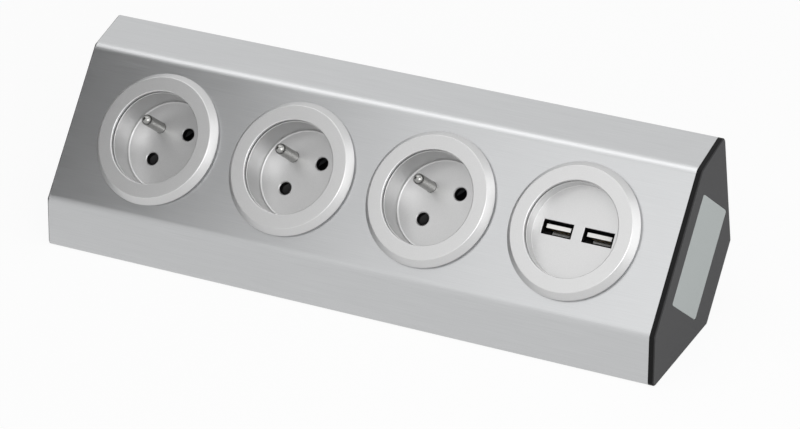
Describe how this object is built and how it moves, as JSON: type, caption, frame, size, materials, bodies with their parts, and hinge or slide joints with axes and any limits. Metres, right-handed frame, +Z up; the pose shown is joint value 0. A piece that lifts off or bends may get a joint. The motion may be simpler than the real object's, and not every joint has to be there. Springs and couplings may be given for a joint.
{
  "type": "corner power strip",
  "caption": "Corner power strip with a slanted metal face that holds recessed earthed sockets with pin shutters and a USB charger, on a plastic base with end caps and a cable inlet.",
  "frame": {"origin": "middle of the footprint, on the underside that lies on the worktop", "axes": "+X along the strip to its right end as seen from the front, +Y to the wall behind it, +Z up"},
  "size_m": [0.289, 0.0746, 0.0746],
  "materials": {
    "cover_metal": "satin, finely brushed along its length",
    "black_plastic": "moulded, fine grain",
    "silver_plastic": "moulded, satin silver paint",
    "grey_plastic": "moulded, fine grain",
    "shutter_plastic": "moulded, smooth",
    "rating_label": "blank satin foil",
    "grommet_rubber": "moulded",
    "screw_steel": "zinc plated",
    "spring_steel": "drawn wire",
    "contact_brass": "rolled sheet",
    "plated_brass": "nickel plated",
    "shell_steel": "nickel plated",
    "tongue_plastic": "moulded",
    "circuit_board": "solder resist on glass laminate",
    "terminal_plastic": "moulded",
    "transformer_tape": "polyester tape over ferrite",
    "capacitor_sleeve": "shrink sleeve",
    "chip_plastic": "moulded",
    "live_insulation": "extruded",
    "neutral_insulation": "extruded",
    "earth_insulation": "extruded, two colours"
  },
  "bodies": {
    "housing": {"front_cover": "cover_metal", "rear_base": "black_plastic", "left_end_cap": "black_plastic", "right_end_cap": "black_plastic", "cap_screws": "screw_steel", "rating_plate": "rating_label", "cable_grommet": "grommet_rubber", "trim_ring_1": "silver_plastic", "trim_ring_2": "silver_plastic", "trim_ring_3": "silver_plastic", "trim_ring_4": "silver_plastic", "socket_cup_1": "silver_plastic", "contact_carrier_1": "grey_plastic", "contact_lid_1": "grey_plastic", "live_contact_1": "contact_brass", "neutral_contact_1": "contact_brass", "earth_pin_1": "plated_brass", "shutter_spring_1": "spring_steel", "live_wire_1": "live_insulation", "neutral_wire_1": "neutral_insulation", "socket_cup_2": "silver_plastic", "contact_carrier_2": "grey_plastic", "contact_lid_2": "grey_plastic", "live_contact_2": "contact_brass", "neutral_contact_2": "contact_brass", "earth_pin_2": "plated_brass", "shutter_spring_2": "spring_steel", "live_wire_2": "live_insulation", "neutral_wire_2": "neutral_insulation", "socket_cup_3": "silver_plastic", "contact_carrier_3": "grey_plastic", "contact_lid_3": "grey_plastic", "live_contact_3": "contact_brass", "neutral_contact_3": "contact_brass", "earth_pin_3": "plated_brass", "shutter_spring_3": "spring_steel", "live_wire_3": "live_insulation", "neutral_wire_3": "neutral_insulation", "socket_screws": "screw_steel", "usb_insert": "silver_plastic", "usb_housing": "grey_plastic", "usb_screws": "screw_steel", "usb_shell_left": "shell_steel", "usb_shell_right": "shell_steel", "usb_tongue_left": "tongue_plastic", "usb_tongue_right": "tongue_plastic", "usb_board": "circuit_board", "usb_terminal_block": "terminal_plastic", "usb_transformer": "transformer_tape", "usb_capacitors": "capacitor_sleeve", "usb_controller": "chip_plastic", "earth_wire_1": "earth_insulation", "earth_wire_2": "earth_insulation", "earth_bond_wire": "earth_insulation", "earth_bond_stud": "screw_steel", "earth_bond_lug": "plated_brass", "earth_bond_nut": "screw_steel"},
    "shutter_1": {"shutter_1": "shutter_plastic"},
    "shutter_2": {"shutter_2": "shutter_plastic"},
    "shutter_3": {"shutter_3": "shutter_plastic"}
  },
  "joints": [
    {"name": "shutter_turn_1", "type": "hinge", "parent": "housing", "child": "shutter_1", "pos_m": [-0.1, 0.00281, 0.03448], "axis": [0, 0.7071, -0.7071], "range_deg": [0, 42], "stiffness_Nm_per_rad": 0.002, "springref_deg": -20.05, "deforming": ["shutter_spring_1"]},
    {"name": "shutter_turn_2", "type": "hinge", "parent": "housing", "child": "shutter_2", "pos_m": [-0.034, 0.00281, 0.03448], "axis": [0, 0.7071, -0.7071], "range_deg": [0, 42], "stiffness_Nm_per_rad": 0.002, "springref_deg": -20.05, "deforming": ["shutter_spring_2"]},
    {"name": "shutter_turn_3", "type": "hinge", "parent": "housing", "child": "shutter_3", "pos_m": [0.032, 0.00281, 0.03448], "axis": [0, 0.7071, -0.7071], "range_deg": [0, 42], "stiffness_Nm_per_rad": 0.002, "springref_deg": -20.05, "deforming": ["shutter_spring_3"]}
  ]
}
